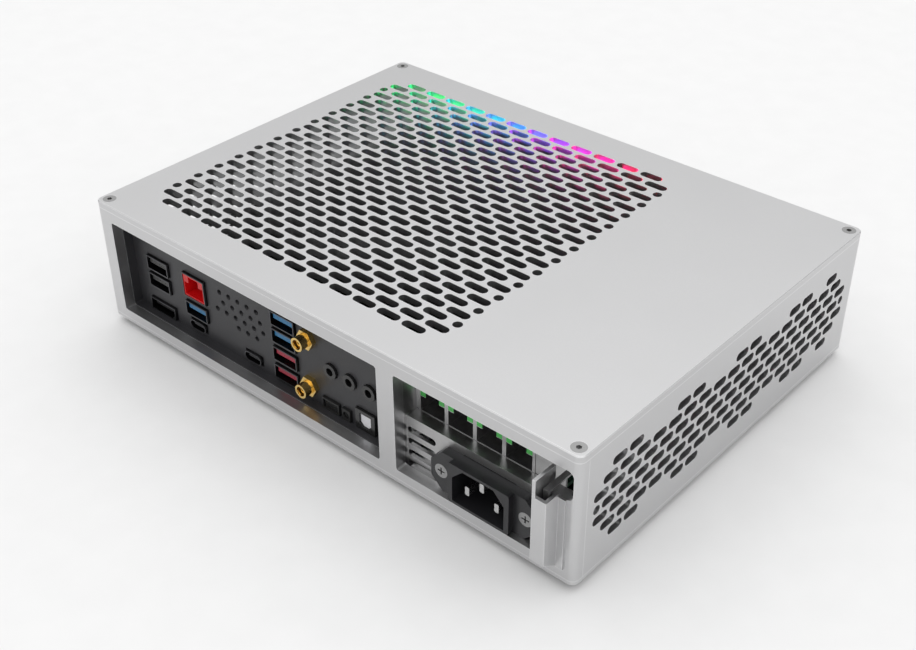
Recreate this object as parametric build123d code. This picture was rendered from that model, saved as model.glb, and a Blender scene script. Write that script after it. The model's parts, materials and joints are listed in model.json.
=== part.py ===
"""Small desktop computer in a three-litre aluminium case, as an assembly of separate pieces.

Every piece is modelled in case coordinates, in millimetres: x runs from the left edge of the
connector face as seen from outside, y runs from the connector face into the case, and z runs up
from the case's underside. place_in_row() then moves a piece to the row frame, whose origin is the
middle of the bounding box at the bottom of the feet, with the connector face towards -Y.
"""
from build123d import *
import os

# Case
WIDTH = 262.0
DEPTH = 193.0
HEIGHT = 59.0
CORNER_RADIUS = 3.0
SIDE_WALL = 2.5
FRONT_WALL = 3.0
REAR_WALL = 5.0
COVER_THICK = 3.0
BASE_THICK = 2.0
EDGE_BREAK = 0.35
FOOT_HEIGHT = 3.5
FOOT_RADIUS = 7.0
FOOT_STEM_RADIUS = 2.5
FOOT_LEFT_INSET = 30.0
FOOT_RIGHT_INSET = 19.0
FOOT_END_INSET = 10.0

# Case screws, all M3 countersunk with a hexagon socket
CASE_SCREW_INSET = 4.4
LUG_SIDE = 9.0
COVER_LUG_HEIGHT = 5.0
BASE_LUG_HEIGHT = 4.0
M3_RADIUS = 1.5
M3_HEAD_RADIUS = 3.0
M3_HEAD_DEPTH = 1.6
M3_SOCKET = 2.0
SCREW_GAP = 0.05
CASE_SCREW_LENGTH = 5.6

# Vent patterns
TOP_SLOT_LENGTH = 11.0
TOP_SLOT_WIDTH = 4.1
TOP_SLOT_PITCH = 12.85
TOP_ROW_PITCH = 5.93
TOP_SLOT_COLUMNS = 13
TOP_VENT_CENTRE = 98.9
TOP_VENT_MARGIN = 19.0
SIDE_SLOT_LENGTH = 8.5
SIDE_SLOT_WIDTH = 3.8
SIDE_SLOT_PITCH = 9.81
SIDE_ROW_PITCH = 5.37
SIDE_VENT_MARGIN = 13.0
SIDE_EDGE_COLUMNS = (1, 2, 5, 6, 9, 10, 13, 14, 16)

# Connector aperture and shield
APERTURE_LEFT = 9.4
APERTURE_WIDTH = 158.75
APERTURE_DROP = 0.35
APERTURE_HEIGHT = 44.45
APERTURE_RADIUS = 1.2
SHIELD_FACE = 9.2
SHIELD_THICK = 1.0
SHIELD_RIM = 0.8
SHIELD_INSET = 0.3
SHIELD_OUTER_CORNER = 1.6
SHIELD_INNER_CORNER = 0.9
PORT_FACE = 8.0
PORT_GAP = 0.25

# Expansion bay opening
PILLAR = 8.7
BAY_WALL = 6.8
BAY_RIGHT_INSET = 14.5
BAY_NOTCH_INSET = 2.5
BAY_NOTCH_BOTTOM = 38.4
BAY_TOP = 51.2
BAY_RADIUS = 2.6
BRACKET_THICK = 1.5
SHELF_TOP = 28.75
SHELF_DEPTH = 5.6
BAY_SLOT_LENGTH = 14.2
BAY_SLOT_WIDTH = 3.1
BAY_SLOT_PITCH = 5.57
BAY_SLOT_COUNT = 4
BAY_SLOT_TOP = 22.5

# Shroud over the bracket's screw tab
SHROUD_OUT = 7.6
SHROUD_WIDTH = 6.1
SHROUD_LEFT_INSET = 14.0
SHROUD_BOTTOM = 6.1
SHROUD_SLOPE = 5.0
SHROUD_TOP = 39.8
SHROUD_EAR_TOP = 47.2
SHROUD_EAR_BACK = 3.5
SHROUD_WALL = 1.4
SHROUD_FLANGE = 3.0
TAB_THICK = 0.8

# Mainboard, 170 mm square
BOARD_SIDE = 170.0
BOARD_LEFT = 4.4
BOARD_THICK = 1.6
BOARD_GAP = 0.8
STANDOFF_HEIGHT = 3.0
STANDOFF_RADIUS = 3.0
BOARD_HOLES_X = (6.35, 163.83)
BOARD_HOLES_Y = (10.16, 165.10)
BOARD_HOLE_RADIUS = 1.9
PORT_LENGTH = 21.0

# Cooler and fan
COOLER_X = 88.0
COOLER_Y = 90.0
COOLER_SIDE = 92.0
COOLER_BASE_SIDE = 44.0
SOCKET_HEIGHT = 5.4
COOLER_BASE = 3.0
FIN_PITCH = 3.2
FIN_THICK = 1.0
FAN_HEIGHT = 15.0
FAN_BORE_RADIUS = 43.5
FAN_TIP_GAP = 1.0
FAN_HUB_RADIUS = 17.0
FAN_BLADES = 9
FAN_ROOM = 6.0
SHAFT_RADIUS = 1.5
RUNNING_GAP = 0.05

# Memory
MEMORY_Y = (166.5, 176.0)
MEMORY_LEFT = 20.8
MEMORY_LENGTH = 133.35
MEMORY_THICK = 1.2
MEMORY_SEAT = 3.6
MEMORY_SLOT_HEIGHT = 8.4
MEMORY_SLOT_WIDTH = 6.4
SPREADER_WIDTH = 5.6
SPREADER_HEIGHT = 28.0
LIGHT_HEIGHT = 6.0
LATCH_WIDTH = 3.0
LATCH_HEIGHT = 18.0
LATCH_PIN_RADIUS = 0.9

# Expansion card
CARD_THICK = 1.6
CARD_DEPTH = 96.0
CARD_RIGHT_INSET = 16.0
JACK_PITCH = 13.85
JACK_COUNT = 4
JACK_WIDTH = 12.1
JACK_SHOULDER = 6.8
JACK_HEIGHT = 9.4
JACK_NOTCH = 6.6
JACK_FACE = 12.4
JACK_LENGTH = 18.0
JACK_BLOCK_HEIGHT = 13.2
JACK_WALL = 1.2
JACK_LIGHT = 2.6

# Power inlet, IEC 60320 C14
INLET_RIGHT_INSET = 44.4
INLET_Z = 15.6
INLET_FLANGE_LENGTH = 50.0
INLET_FLANGE_HEIGHT = 18.6
INLET_FLANGE_THICK = 4.1
INLET_COLLAR_WIDTH = 29.0
INLET_COLLAR_HEIGHT = 18.6
INLET_CAVITY_WIDTH = 24.6
INLET_CAVITY_HEIGHT = 16.2
INLET_CAVITY_DEPTH = 15.0
INLET_SCREW_SPACING = 40.0
INLET_BODY_LENGTH = 16.0
PIN_WIDTH = 2.0
PIN_HEIGHT = 4.0
PIN_SPACING = 14.0

# Power supply
SUPPLY_WIDTH = 76.0
SUPPLY_LENGTH = 154.0
SUPPLY_HEIGHT = 22.5
SUPPLY_FIN_DEPTH = 2.0
SUPPLY_FIN_PITCH = 6.0

# Power button, on the front face
BUTTON_RADIUS = 6.0
BUTTON_X = 30.0
BUTTON_GAP = 0.2
BUTTON_TRAVEL = 1.2
LIGHT_RADIUS = 1.5
LIGHT_SPACING = 14.0

# Connectors on the mainboard: centre x, levels above the board, width and height of the opening
USB_WIDTH = 13.0
USB_HEIGHT = 5.8
USB2_X = 26.5
USB2_LEVELS = (16.3, 25.1)
DISPLAY_X = 26.6
DISPLAY_WIDTH = 16.0
DISPLAY_HEIGHT = 5.2
LAN_X = 50.9
LAN_LEVEL = 23.8
LAN_WIDTH = 13.2
LAN_HEIGHT = 10.8
LAN_USB_LEVEL = 12.0
USB_C_X = (50.6, 86.4)
USB_C_WIDTH = 9.4
USB_C_HEIGHT = 3.6
USB_STACK_X = 107.1
USB_STACK_LEVELS = (5.0, 14.0, 23.0, 31.5)
ANTENNA_X = 121.3
ANTENNA_LEVELS = (7.3, 30.4)
ANTENNA_RADIUS = 3.1
ANTENNA_BODY_RADIUS = 3.3
ANTENNA_STEP = 0.4
ANTENNA_FRONT = 2.9
ANTENNA_BEHIND = 4.0
ANTENNA_BORE_RADIUS = 2.2
ANTENNA_PIN_RADIUS = 1.3
ANTENNA_PIN_BORE = 0.5
RADIO_LEFT = 3.6
RADIO_RIGHT = 1.2
RADIO_LENGTH = 22.0
NUT_ACROSS = 8.0
NUT_THICK = 2.2
AUDIO_X = (133.8, 144.4, 155.1)
AUDIO_LEVEL = 20.3
AUDIO_RING_RADIUS = 3.4
AUDIO_HOLE_RADIUS = 1.8
BIOS_X = 133.0
BIOS_LEVEL = 2.8
CLEAR_X = 141.8
OPTICAL_X = 152.6
OPTICAL_LEVEL = 5.0
OPTICAL_WIDTH = 10.6
OPTICAL_HEIGHT = 9.6
SHUTTER_SIDE = 6.0
SHUTTER_THICK = 0.8
SMALL_TRAVEL = 0.8
PERFORATION_RADIUS = 1.25
PERFORATION_PITCH = 5.75
PERFORATION_ROWS = ((67.3, 28.8, 5), (69.1, 24.1, 5), (64.9, 19.7, 6), (77.8, 15.1, 3))

# Derived places
FRAME_TOP = HEIGHT - COVER_THICK
BOARD_BOTTOM = BASE_THICK + STANDOFF_HEIGHT
BOARD_TOP = BOARD_BOTTOM + BOARD_THICK
APERTURE_RIGHT = APERTURE_LEFT + APERTURE_WIDTH
APERTURE_BOTTOM = BOARD_TOP - APERTURE_DROP
APERTURE_TOP = APERTURE_BOTTOM + APERTURE_HEIGHT
USB2_Z = [BOARD_TOP + level for level in USB2_LEVELS]
LAN_Z = BOARD_TOP + LAN_LEVEL
LAN_USB_Z = BOARD_TOP + LAN_USB_LEVEL
USB_STACK_Z = [BOARD_TOP + level for level in USB_STACK_LEVELS]
ANTENNA_Z = [BOARD_TOP + level for level in ANTENNA_LEVELS]
AUDIO_Z = BOARD_TOP + AUDIO_LEVEL
BIOS_Z = BOARD_TOP + BIOS_LEVEL
OPTICAL_Z = BOARD_TOP + OPTICAL_LEVEL
BAY_LEFT = APERTURE_RIGHT + PILLAR
BAY_RIGHT = WIDTH - BAY_RIGHT_INSET
BAY_NOTCH_RIGHT = WIDTH - BAY_NOTCH_INSET
BRACKET_BACK = BAY_WALL + BRACKET_THICK
SHIELD_BACK = SHIELD_FACE + SHIELD_THICK
BOARD_REAR = SHIELD_BACK + BOARD_GAP
CARD_TOP = SHELF_TOP + 0.1
CARD_BOTTOM = CARD_TOP - CARD_THICK
JACK_LEFT = BAY_LEFT + 2.0
JACK_BLOCK_LEFT = JACK_LEFT - JACK_WALL
JACK_BLOCK_RIGHT = JACK_LEFT + (JACK_COUNT - 1) * JACK_PITCH + JACK_WIDTH + JACK_WALL
INLET_X = WIDTH - INLET_RIGHT_INSET
INLET_FACE = BAY_WALL - INLET_FLANGE_THICK
SHROUD_LEFT = WIDTH - SHROUD_LEFT_INSET
FAN_TOP = FRAME_TOP - FAN_ROOM
FAN_BOTTOM = FAN_TOP - FAN_HEIGHT
SOCKET_TOP = BOARD_TOP + SOCKET_HEIGHT
CASE_SCREW_PLACES = [
    (x, y)
    for x in (CASE_SCREW_INSET, WIDTH - CASE_SCREW_INSET)
    for y in (CASE_SCREW_INSET, DEPTH - CASE_SCREW_INSET)
]
FOOT_PLACES = [
    (x, y)
    for x in (FOOT_LEFT_INSET, WIDTH - FOOT_RIGHT_INSET)
    for y in (FOOT_END_INSET, DEPTH - FOOT_END_INSET)
]
BOARD_SCREW_PLACES = [
    (BOARD_LEFT + x, BOARD_REAR + y) for x in BOARD_HOLES_X for y in BOARD_HOLES_Y
]


# ---- shape helpers ----
def block(x, y, z):
    """Box between the given (low, high) x, y and z."""
    size = (x[1] - x[0], y[1] - y[0], z[1] - z[0])
    return Pos(sum(x) / 2, sum(y) / 2, sum(z) / 2) * Box(*size)


def along_x(sketch, x):
    """Extrudes a sketch drawn in (y, z) from x[0] to x[1]."""
    return extrude(Plane.YZ.offset(x[0]) * sketch, amount=x[1] - x[0])


def along_y(sketch, y):
    """Extrudes a sketch drawn in (x, z) from y[0] to y[1]."""
    return extrude(Plane.XZ.offset(-y[0]) * sketch, amount=y[0] - y[1])


def along_z(sketch, z):
    """Extrudes a sketch drawn in (x, y) from z[0] to z[1]."""
    return extrude(Plane.XY.offset(z[0]) * sketch, amount=z[1] - z[0])


def disc(x, y, radius):
    return Pos(x, y) * Circle(radius)


def panel(x, z, radius=0.0):
    """Rectangle between the given low and high values, with rounded corners if asked."""
    size = (x[1] - x[0], z[1] - z[0])
    shape = RectangleRounded(*size, radius) if radius else Rectangle(*size)
    return Pos(sum(x) / 2, sum(z) / 2) * shape


def around(centre, size):
    """(low, high) of a span of that size about a centre."""
    return (centre - size / 2, centre + size / 2)


def grow(span, gap):
    return (span[0] - gap, span[1] + gap)


# ---- vent patterns ----
def top_vent_holes():
    """Obround slots in staggered rows, the longer-offset rows closed off by round holes."""
    pairs = int((DEPTH - 2 * TOP_VENT_MARGIN) / (2 * TOP_ROW_PITCH))
    rows = 2 * pairs + 1
    slot = SlotOverall(TOP_SLOT_LENGTH, TOP_SLOT_WIDTH)
    dot = Circle(TOP_SLOT_WIDTH / 2)
    half = TOP_SLOT_COLUMNS * TOP_SLOT_PITCH / 2 - TOP_SLOT_WIDTH / 2 + 0.5
    holes = []
    for row in range(rows):
        y = DEPTH / 2 + (row - pairs) * TOP_ROW_PITCH
        columns = TOP_SLOT_COLUMNS - (row + 1) % 2
        for column in range(columns):
            x = TOP_VENT_CENTRE + (column - (columns - 1) / 2) * TOP_SLOT_PITCH
            holes.append(Pos(x, y) * slot)
        if columns < TOP_SLOT_COLUMNS and 0 < row < rows - 1:
            holes += [Pos(TOP_VENT_CENTRE + side * half, y) * dot for side in (-1, 1)]
    return holes


def side_vent_holes():
    """Seven rows of slots, drawn in (y, z): five full rows and two broken outer rows."""
    columns = int((DEPTH - 2 * SIDE_VENT_MARGIN) / SIDE_SLOT_PITCH) + 1
    first = DEPTH / 2 - (columns - 1) / 2 * SIDE_SLOT_PITCH
    slot = SlotOverall(SIDE_SLOT_LENGTH, SIDE_SLOT_WIDTH)
    holes = []
    for row in range(-3, 4):
        z = HEIGHT / 2 + row * SIDE_ROW_PITCH
        if abs(row) == 3:
            places = [first + k * SIDE_SLOT_PITCH for k in SIDE_EDGE_COLUMNS if k < columns]
        elif abs(row) == 1:
            places = [first + k * SIDE_SLOT_PITCH for k in range(columns)]
        else:
            places = [first + (k + 0.5) * SIDE_SLOT_PITCH for k in range(columns - 1)]
        holes += [Pos(y, z) * slot for y in places]
        if row == 0:
            reach = (columns - 1) / 2 * SIDE_SLOT_PITCH + (SIDE_SLOT_LENGTH - SIDE_SLOT_WIDTH) / 2
            dot = Circle(SIDE_SLOT_WIDTH / 2)
            holes += [Pos(DEPTH / 2 + side * reach, z) * dot for side in (-1, 1)]
    return holes


# ---- case ----
def bay_opening():
    """L-shaped opening of the expansion bay, drawn in (x, z)."""
    main = panel((BAY_LEFT, BAY_RIGHT), (APERTURE_BOTTOM, BAY_TOP), APERTURE_RADIUS)
    notch = panel((BAY_RIGHT - 20, BAY_NOTCH_RIGHT), (BAY_NOTCH_BOTTOM, BAY_TOP), BAY_RADIUS)
    return main + notch


def case_walls():
    """Rear, front, left and right walls, which meet at their ends."""
    tall = (BASE_THICK, FRAME_TOP)
    outer = along_z(panel((0, WIDTH), (0, DEPTH), CORNER_RADIUS), tall)
    between = (REAR_WALL, DEPTH - FRONT_WALL)
    rear = outer & block((0, WIDTH), (0, REAR_WALL), tall)
    front = outer & block((0, WIDTH), (DEPTH - FRONT_WALL, DEPTH), tall)
    left = block((0, SIDE_WALL), between, tall)
    right = block((WIDTH - SIDE_WALL, WIDTH), between, tall)
    return rear, front, left, right


def screw_lugs(near_y):
    """Lugs that take the case screws, at both ends of a wall whose inside is at near_y."""
    lugs = []
    for near_x in ((SIDE_WALL, LUG_SIDE), (WIDTH - LUG_SIDE, WIDTH - SIDE_WALL)):
        lugs.append(block(near_x, near_y, (FRAME_TOP - COVER_LUG_HEIGHT, FRAME_TOP)))
        lugs.append(block(near_x, near_y, (BASE_THICK, BASE_THICK + BASE_LUG_HEIGHT)))
    return lugs


def case_frame():
    """The four upright walls, with the connector openings, the button's hole and the vents."""
    rear, front, left, right = case_walls()
    screw_holes = [screw_clearance(x, y, 0, HEIGHT) for x, y in CASE_SCREW_PLACES]
    aperture = panel(
        (APERTURE_LEFT, APERTURE_RIGHT), (APERTURE_BOTTOM, APERTURE_TOP), APERTURE_RADIUS
    )
    rear += screw_lugs((REAR_WALL, LUG_SIDE))
    rear -= along_y(aperture, (-1, REAR_WALL + 1))
    rear -= along_y(bay_opening(), (-1, REAR_WALL + 1))
    rear -= screw_holes
    front += screw_lugs((DEPTH - LUG_SIDE, DEPTH - FRONT_WALL))
    front -= screw_holes
    button = disc(BUTTON_X, HEIGHT / 2, BUTTON_RADIUS + BUTTON_GAP)
    light = disc(BUTTON_X + LIGHT_SPACING, HEIGHT / 2, LIGHT_RADIUS + SCREW_GAP)
    front -= [along_y(hole, (DEPTH - FRONT_WALL - 1, DEPTH + 1)) for hole in (button, light)]
    vents = side_vent_holes()
    left -= [along_x(hole, (-1, SIDE_WALL + 1)) for hole in vents]
    right -= [along_x(hole, (WIDTH - SIDE_WALL - 1, WIDTH + 1)) for hole in vents]
    return [rear, front, left, right]


def countersink(x, y, top):
    """Cone for a countersunk head whose rim is at height top, pointing down."""
    depth = M3_HEAD_RADIUS - M3_RADIUS
    cone = Cone(M3_RADIUS + SCREW_GAP, M3_HEAD_RADIUS + SCREW_GAP, depth)
    return Pos(x, y, top - depth / 2) * cone


def screw_clearance(x, y, low, high):
    return along_z(disc(x, y, M3_RADIUS + SCREW_GAP), (low, high))


def top_cover():
    cover = along_z(panel((0, WIDTH), (0, DEPTH), CORNER_RADIUS), (FRAME_TOP, HEIGHT))
    cover = chamfer(cover.faces().sort_by(Axis.Z)[-1].edges(), EDGE_BREAK)
    cuts = [along_z(hole, (FRAME_TOP - 1, HEIGHT + 1)) for hole in top_vent_holes()]
    for x, y in CASE_SCREW_PLACES:
        cuts += [screw_clearance(x, y, FRAME_TOP - 1, HEIGHT + 1), countersink(x, y, HEIGHT)]
    return cover - cuts


def base_plate():
    plate = along_z(panel((0, WIDTH), (0, DEPTH), CORNER_RADIUS), (0, BASE_THICK))
    plate = chamfer(plate.faces().sort_by(Axis.Z)[0].outer_wire().edges(), EDGE_BREAK)
    for x, y in CASE_SCREW_PLACES:
        plate -= screw_clearance(x, y, -1, BASE_THICK + 1)
        plate -= Pos(x, y, 0) * Rot(180, 0, 0) * Pos(-x, -y, 0) * countersink(x, y, 0)
    for x, y in FOOT_PLACES:
        plate -= along_z(disc(x, y, FOOT_STEM_RADIUS), (-1, BASE_THICK + 1))
    return plate


def feet():
    """Push-in rubber feet: a rounded disc and a stem through the base plate."""
    foot = along_z(Circle(FOOT_RADIUS), (-FOOT_HEIGHT, 0))
    foot = fillet(foot.faces().sort_by(Axis.Z)[0].edges(), 1.0)
    foot += along_z(Circle(FOOT_STEM_RADIUS), (0, BASE_THICK))
    return [Pos(x, y, 0) * foot for x, y in FOOT_PLACES]


def countersunk_screw(length):
    """M3 screw standing upright with the top of its head at z = 0."""
    depth = M3_HEAD_RADIUS - M3_RADIUS
    screw = Pos(0, 0, -depth / 2) * Cone(M3_RADIUS, M3_HEAD_RADIUS, depth)
    screw += along_z(Circle(M3_RADIUS), (-length, -depth))
    return screw - along_z(RegularPolygon(M3_SOCKET / 2, 6, major_radius=False), (-1.2, 1))


def cover_screws():
    screw = countersunk_screw(COVER_THICK + COVER_LUG_HEIGHT - SCREW_GAP * 4)
    return [Pos(x, y, HEIGHT) * screw for x, y in CASE_SCREW_PLACES]


def base_screws():
    screw = countersunk_screw(CASE_SCREW_LENGTH)
    return [Pos(x, y, 0) * Rot(180, 0, 0) * screw for x, y in CASE_SCREW_PLACES]


# ---- expansion bay ----
def inlet_cutout(gap=0.0):
    return panel(
        grow(around(INLET_X, INLET_CAVITY_WIDTH + 2.4), gap),
        grow(around(INLET_Z, INLET_CAVITY_HEIGHT + 2.4), gap),
        2.0,
    )


def inlet_screw_places():
    return [INLET_X - INLET_SCREW_SPACING / 2, INLET_X + INLET_SCREW_SPACING / 2]


def rear_bracket():
    """Folded plate behind the bay opening: vent slots, inlet cutout and the card's shelf."""
    outside = (BAY_LEFT - BRACKET_THICK, BAY_RIGHT + BRACKET_THICK)
    heights = (BASE_THICK, SHELF_TOP)
    bracket = block(outside, (BAY_WALL, BRACKET_BACK), heights)
    for flange in ((outside[0], BAY_LEFT), (BAY_RIGHT, outside[1])):
        bracket += block(flange, (REAR_WALL, BRACKET_BACK), heights)
    bracket += block(
        outside, (BAY_WALL, BAY_WALL + SHELF_DEPTH), (SHELF_TOP - BRACKET_THICK, SHELF_TOP)
    )
    for k in range(BAY_SLOT_COUNT):
        z = BAY_SLOT_TOP - k * BAY_SLOT_PITCH
        centre = BAY_LEFT + 0.3 + BAY_SLOT_LENGTH / 2
        slot = Pos(centre, z) * SlotOverall(BAY_SLOT_LENGTH, BAY_SLOT_WIDTH)
        bracket -= along_y(slot, (BAY_WALL - 1, BRACKET_BACK + 1))
    bracket -= along_y(inlet_cutout(PORT_GAP), (BAY_WALL - 1, BRACKET_BACK + 1))
    for x in inlet_screw_places():
        bracket -= along_y(disc(x, INLET_Z, M3_RADIUS + SCREW_GAP), (BAY_WALL - 1, BRACKET_BACK + 1))
    return bracket


def shroud_side():
    """Side outline of the shroud in (y, z), with its sloping bottom."""
    return make_face(
        Polyline(
            (0, SHROUD_BOTTOM),
            (0, SHROUD_TOP),
            (-SHROUD_OUT, SHROUD_TOP),
            (-SHROUD_OUT, SHROUD_BOTTOM + SHROUD_SLOPE),
            close=True,
        )
    )


def bracket_shroud():
    """Proud channel on the connector face, open at the top, that covers the card's screw tab."""
    left, right = SHROUD_LEFT, SHROUD_LEFT + SHROUD_WIDTH
    front_bottom = SHROUD_BOTTOM + SHROUD_SLOPE
    ear = (SHROUD_TOP, SHROUD_EAR_TOP)
    shell = along_x(shroud_side(), (left, right))
    shell += block((left, left + SHROUD_WALL), (-SHROUD_OUT, SHROUD_EAR_BACK), ear)
    shell += block((right, right + SHROUD_FLANGE), (-0.8, 0), (SHROUD_BOTTOM, BAY_NOTCH_BOTTOM))
    pocket = block(
        (left + SHROUD_WALL, right - SHROUD_WALL),
        (-SHROUD_OUT + SHROUD_WALL, -SHROUD_WALL),
        (front_bottom + SHROUD_WALL, SHROUD_EAR_TOP + 1),
    )
    notch = block(
        (left + SHROUD_WALL, right - SHROUD_WALL),
        (-SHROUD_OUT + SHROUD_WALL, 1),
        (BAY_NOTCH_BOTTOM + 0.4, SHROUD_EAR_TOP + 1),
    )
    return shell - pocket - notch


def nic_bracket():
    """Card bracket: a plate around the jacks, and a tab that hooks over into the shroud."""
    left, right = BAY_LEFT - PILLAR / 2, BAY_RIGHT - 0.3
    front, back = JACK_FACE + 0.2, JACK_FACE + 1.2
    heights = (SHELF_TOP + 0.1, FRAME_TOP - 2)
    plate = block((left, right), (front, back), heights)
    plate += block((BAY_LEFT - BRACKET_THICK, BAY_LEFT), (REAR_WALL, back), heights)
    window = block(
        grow((JACK_BLOCK_LEFT, JACK_BLOCK_RIGHT), 0.15),
        (front - 1, back + 1),
        (SHELF_TOP - 1, CARD_TOP + JACK_BLOCK_HEIGHT + 0.15),
    )
    tab_x = (SHROUD_LEFT + SHROUD_WALL + 0.4, SHROUD_LEFT + SHROUD_WIDTH - SHROUD_WALL - 0.4)
    tab_y = -SHROUD_OUT / 2
    level = BAY_NOTCH_BOTTOM + 2.6
    arm = block((right - 6, tab_x[1]), (front, back), (level, level + 6))
    reach = block(tab_x, (tab_y, back), (level, level + TAB_THICK))
    drop = block(tab_x, (tab_y, tab_y + TAB_THICK), (SHROUD_TOP - 14, level + TAB_THICK))
    return plate - window + arm + reach + drop


def jack_outline(left):
    """Opening of one network jack in (x, z), with the latch notch above its shoulders."""
    x = (left, left + JACK_WIDTH)
    low = CARD_TOP + 0.15
    mouth = panel(x, (low, low + JACK_SHOULDER))
    return mouth + panel(around(left + JACK_WIDTH / 2, JACK_NOTCH), (low, low + JACK_HEIGHT))


def jack_lefts():
    return [JACK_LEFT + k * JACK_PITCH for k in range(JACK_COUNT)]


def nic_jacks():
    block_x = (JACK_BLOCK_LEFT, JACK_BLOCK_RIGHT)
    body = block(block_x, (JACK_FACE, JACK_FACE + JACK_LENGTH), (CARD_TOP, CARD_TOP + JACK_BLOCK_HEIGHT))
    for left in jack_lefts():
        body -= along_y(jack_outline(left), (JACK_FACE - 1, JACK_FACE + JACK_LENGTH - 3))
    return body - [pocket for pocket in nic_light_blocks(0.0)]


def nic_light_blocks(gap):
    """Light windows in the upper corners of every jack's face."""
    low = CARD_TOP + 0.15 + JACK_SHOULDER + 0.3
    blocks = []
    for left in jack_lefts():
        for centre in (left + JACK_LIGHT / 2 + 0.1, left + JACK_WIDTH - JACK_LIGHT / 2 - 0.1):
            span = grow(around(centre, JACK_LIGHT), -gap)
            blocks.append(block(span, (JACK_FACE - 0.1 + gap, JACK_FACE + 3), (low, low + 2.2)))
    return blocks


def nic_lights():
    return nic_light_blocks(0.0)


def nic_board():
    left = BAY_LEFT - 4.4
    right = WIDTH - CARD_RIGHT_INSET
    rear = JACK_FACE + 1.8
    card = block((left, right), (rear, rear + CARD_DEPTH), (CARD_BOTTOM, CARD_TOP))
    return card - block((left - 1, left + 4.6), (rear - 1, 70), (CARD_BOTTOM - 1, CARD_TOP + 1))


def finned_block(x, y, z, pitch, thick, floor):
    """Heat sink: a floor with upright fins that run along y."""
    sink = block(x, y, (z[0], z[0] + floor))
    count = int((x[1] - x[0] - thick) / pitch) + 1
    spread = (count - 1) * pitch
    first = sum(x) / 2 - spread / 2
    for k in range(count):
        sink += block(around(first + k * pitch, thick), y, (z[0] + floor - 0.2, z[1]))
    return sink


def nic_heatsink():
    x = around((BAY_LEFT + BAY_RIGHT) / 2, 32)
    return finned_block(x, (52, 84), (CARD_TOP, CARD_TOP + 14), 3.2, 1.0, 2.5)


def riser_card():
    """Upright card in the mainboard's slot that carries the expansion card's socket."""
    x = BOARD_LEFT + BOARD_SIDE - 8.8
    return block((x, x + CARD_THICK), (62, 147), (BOARD_TOP + 4, CARD_TOP + 10))


def riser_socket():
    x = BOARD_LEFT + BOARD_SIDE - 8.8 + CARD_THICK
    right = BAY_LEFT - 0.2
    socket = block((x, right), (68, 112), (CARD_BOTTOM - 3, CARD_TOP + 3))
    return socket - block(
        (BAY_LEFT - 4.6, right + 1), (69, 111), (CARD_BOTTOM - 0.1, CARD_TOP + 0.1)
    )


def expansion_slot():
    x = BOARD_LEFT + BOARD_SIDE - 12.0
    slot = block((x, x + 8.0), (60, 149), (BOARD_TOP, BOARD_TOP + 11))
    card_x = BOARD_LEFT + BOARD_SIDE - 8.8
    return slot - block(grow((card_x, card_x + CARD_THICK), 0.1), (61, 148), (BOARD_TOP + 3.9, 40))


# ---- power inlet and supply ----
def inlet_flange_outline():
    """Flange with both ends tapered towards the screws, drawn about the inlet's centre."""
    half, high = INLET_FLANGE_LENGTH / 2, INLET_FLANGE_HEIGHT / 2
    tip = 4.0
    shoulder = half - (high - tip)
    points = [(half, tip), (shoulder, high), (-shoulder, high), (-half, tip)]
    points += [(-x, -z) for x, z in points]
    flange = make_face(Polyline(*points, close=True))
    return Pos(INLET_X, INLET_Z) * fillet(flange.vertices(), 2.0)


def inlet_cavity():
    """Cavity outline with the two chamfered upper corners, about the inlet's centre."""
    half, high, cut = INLET_CAVITY_WIDTH / 2, INLET_CAVITY_HEIGHT / 2, 5.0
    points = [(-half, -high), (half, -high), (half, high - cut), (half - cut, high)]
    points += [(cut - half, high), (-half, high - cut)]
    return Pos(INLET_X, INLET_Z) * make_face(Polyline(*points, close=True))


def power_inlet():
    flange = along_y(inlet_flange_outline(), (INLET_FACE, BAY_WALL))
    collar = along_y(
        panel(
            around(INLET_X, INLET_COLLAR_WIDTH), around(INLET_Z, INLET_COLLAR_HEIGHT), 1.2
        ),
        (0, BAY_WALL),
    )
    body = along_y(inlet_cutout(), (BAY_WALL, BAY_WALL + INLET_BODY_LENGTH))
    inlet = flange + collar + body - along_y(inlet_cavity(), (-1, INLET_CAVITY_DEPTH))
    for x in inlet_screw_places():
        inlet -= along_y(disc(x, INLET_Z, M3_RADIUS + SCREW_GAP), (0, BAY_WALL + 1))
        inlet -= Pos(x, INLET_FACE + 0.75, INLET_Z) * Rot(90, 0, 0) * Cone(
            M3_RADIUS + SCREW_GAP, M3_HEAD_RADIUS + SCREW_GAP, 1.5
        )
    for x, z in pin_places():
        inlet -= along_y(
            panel(around(x, PIN_WIDTH), around(z, PIN_HEIGHT)), (INLET_CAVITY_DEPTH - 1, 30)
        )
    return inlet


def pin_places():
    low = INLET_Z - 2.2
    return [
        (INLET_X - PIN_SPACING / 2, low),
        (INLET_X + PIN_SPACING / 2, low),
        (INLET_X, low + 5.4),
    ]


def inlet_pins():
    tail = BAY_WALL + INLET_BODY_LENGTH + 3
    pins = []
    for x, z in pin_places():
        pin = along_y(panel(around(x, PIN_WIDTH), around(z, PIN_HEIGHT), 0.6), (2.4, tail))
        pins.append(pin)
    return pins


def inlet_screws():
    """Countersunk cross-head screws that hold the inlet's flange to the bracket."""
    screw = Pos(0, 0, -0.75) * Cone(M3_RADIUS, M3_HEAD_RADIUS, 1.5)
    screw += along_z(Circle(M3_RADIUS), (-8, -1.5))
    cross = Rectangle(3.4, 0.7) + Rectangle(0.7, 3.4)
    screw -= along_z(cross, (-0.9, 1))
    return [Pos(x, INLET_FACE, INLET_Z) * Rot(90, 0, 0) * screw for x in inlet_screw_places()]


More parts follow.
